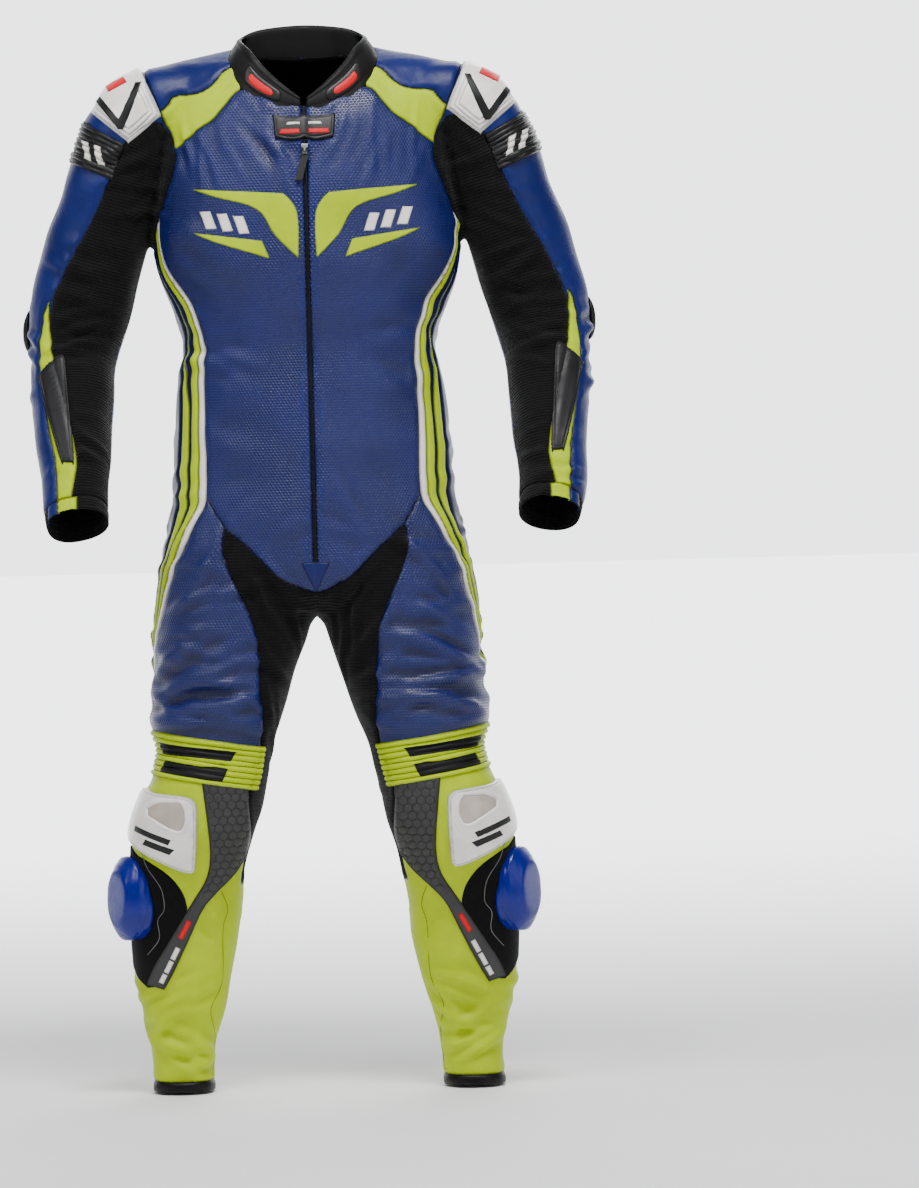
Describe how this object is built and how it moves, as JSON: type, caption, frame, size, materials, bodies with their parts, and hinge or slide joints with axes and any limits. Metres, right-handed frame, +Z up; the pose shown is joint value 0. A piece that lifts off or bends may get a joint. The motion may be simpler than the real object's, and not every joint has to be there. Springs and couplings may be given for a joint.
{
  "type": "one-piece motorcycle race suit",
  "caption": "One-piece leather race suit, filled out as worn, hollow, with open neck, cuffs and ankles, knee sliders and a swinging zip pull.",
  "frame": {"origin": "between the wearer's shoulders, 1385 mm above the ankle hems, where the wearer holds the suit up", "axes": "+Z up, the front faces -Y, +X towards the wearer's left"},
  "size_m": [0.7954, 0.2973, 1.434],
  "materials": {
    "perforated_leather": "perforated, semi-matt",
    "blue_leather": "smooth, semi-gloss",
    "yellow_leather": "smooth, semi-gloss, fluorescent",
    "white_leather": "smooth, semi-gloss",
    "side_leather": "smooth, semi-gloss, with stripes",
    "stretch_cloth": "matt stretch weave",
    "black_leather": "smooth, semi-matt",
    "collar_cloth": "soft, matt",
    "moulded_black": "moulded, satin",
    "moulded_white": "moulded, glossy",
    "grip_grey": "moulded hexagons, satin",
    "slider_blue": "glossy",
    "zip_tape": "woven",
    "zip_metal": "satin"
  },
  "bodies": {
    "suit": {"front_left": "perforated_leather", "front_right": "perforated_leather", "thigh_left": "perforated_leather", "thigh_right": "perforated_leather", "back_left": "blue_leather", "back_right": "blue_leather", "seat_left": "blue_leather", "seat_right": "blue_leather", "shoulder_left": "blue_leather", "shoulder_right": "blue_leather", "sleeve_cap_left": "blue_leather", "sleeve_cap_right": "blue_leather", "sleeve_outer_left": "blue_leather", "sleeve_outer_right": "blue_leather", "yoke_left": "yellow_leather", "yoke_right": "yellow_leather", "forearm_stripe_left": "yellow_leather", "forearm_stripe_right": "yellow_leather", "stripe_yellow_left": "yellow_leather", "stripe_yellow_right": "yellow_leather", "shin_left": "yellow_leather", "shin_right": "yellow_leather", "knee_accordion_left": "yellow_leather", "knee_accordion_right": "yellow_leather", "stripe_white_left": "white_leather", "stripe_white_right": "white_leather", "side_panel_left": "side_leather", "side_panel_right": "side_leather", "sleeve_stretch_left": "stretch_cloth", "sleeve_stretch_right": "stretch_cloth", "inner_leg_left": "stretch_cloth", "inner_leg_right": "stretch_cloth", "cuff_left": "black_leather", "cuff_right": "black_leather", "ankle_hem_left": "black_leather", "ankle_hem_right": "black_leather", "sleeve_accordion_left": "black_leather", "sleeve_accordion_right": "black_leather", "slide_pad_left": "stretch_cloth", "slide_pad_right": "stretch_cloth", "forearm_plate_left": "moulded_black", "forearm_plate_right": "moulded_black", "elbow_slider_left": "moulded_black", "elbow_slider_right": "moulded_black", "collar_patch_left": "moulded_black", "collar_patch_right": "moulded_black", "shoulder_cup_left": "moulded_white", "shoulder_cup_right": "moulded_white", "knee_cup_left": "moulded_white", "knee_cup_right": "moulded_white", "knee_panel_left": "grip_grey", "knee_panel_right": "grip_grey", "knee_slider_left": "slider_blue", "knee_slider_right": "slider_blue", "collar": "collar_cloth", "closure_tab": "moulded_black", "zip": "zip_tape", "zip_patch": "blue_leather", "zip_slider": "zip_metal"},
    "pull_tab": {"zip_pull": "moulded_black"}
  },
  "joints": [
    {"name": "pull_tab_hinge", "type": "hinge", "parent": "suit", "child": "pull_tab", "pos_m": [0, -0.12438, -0.128], "axis": [-1, 0, 0], "range_deg": [0, 100]}
  ]
}
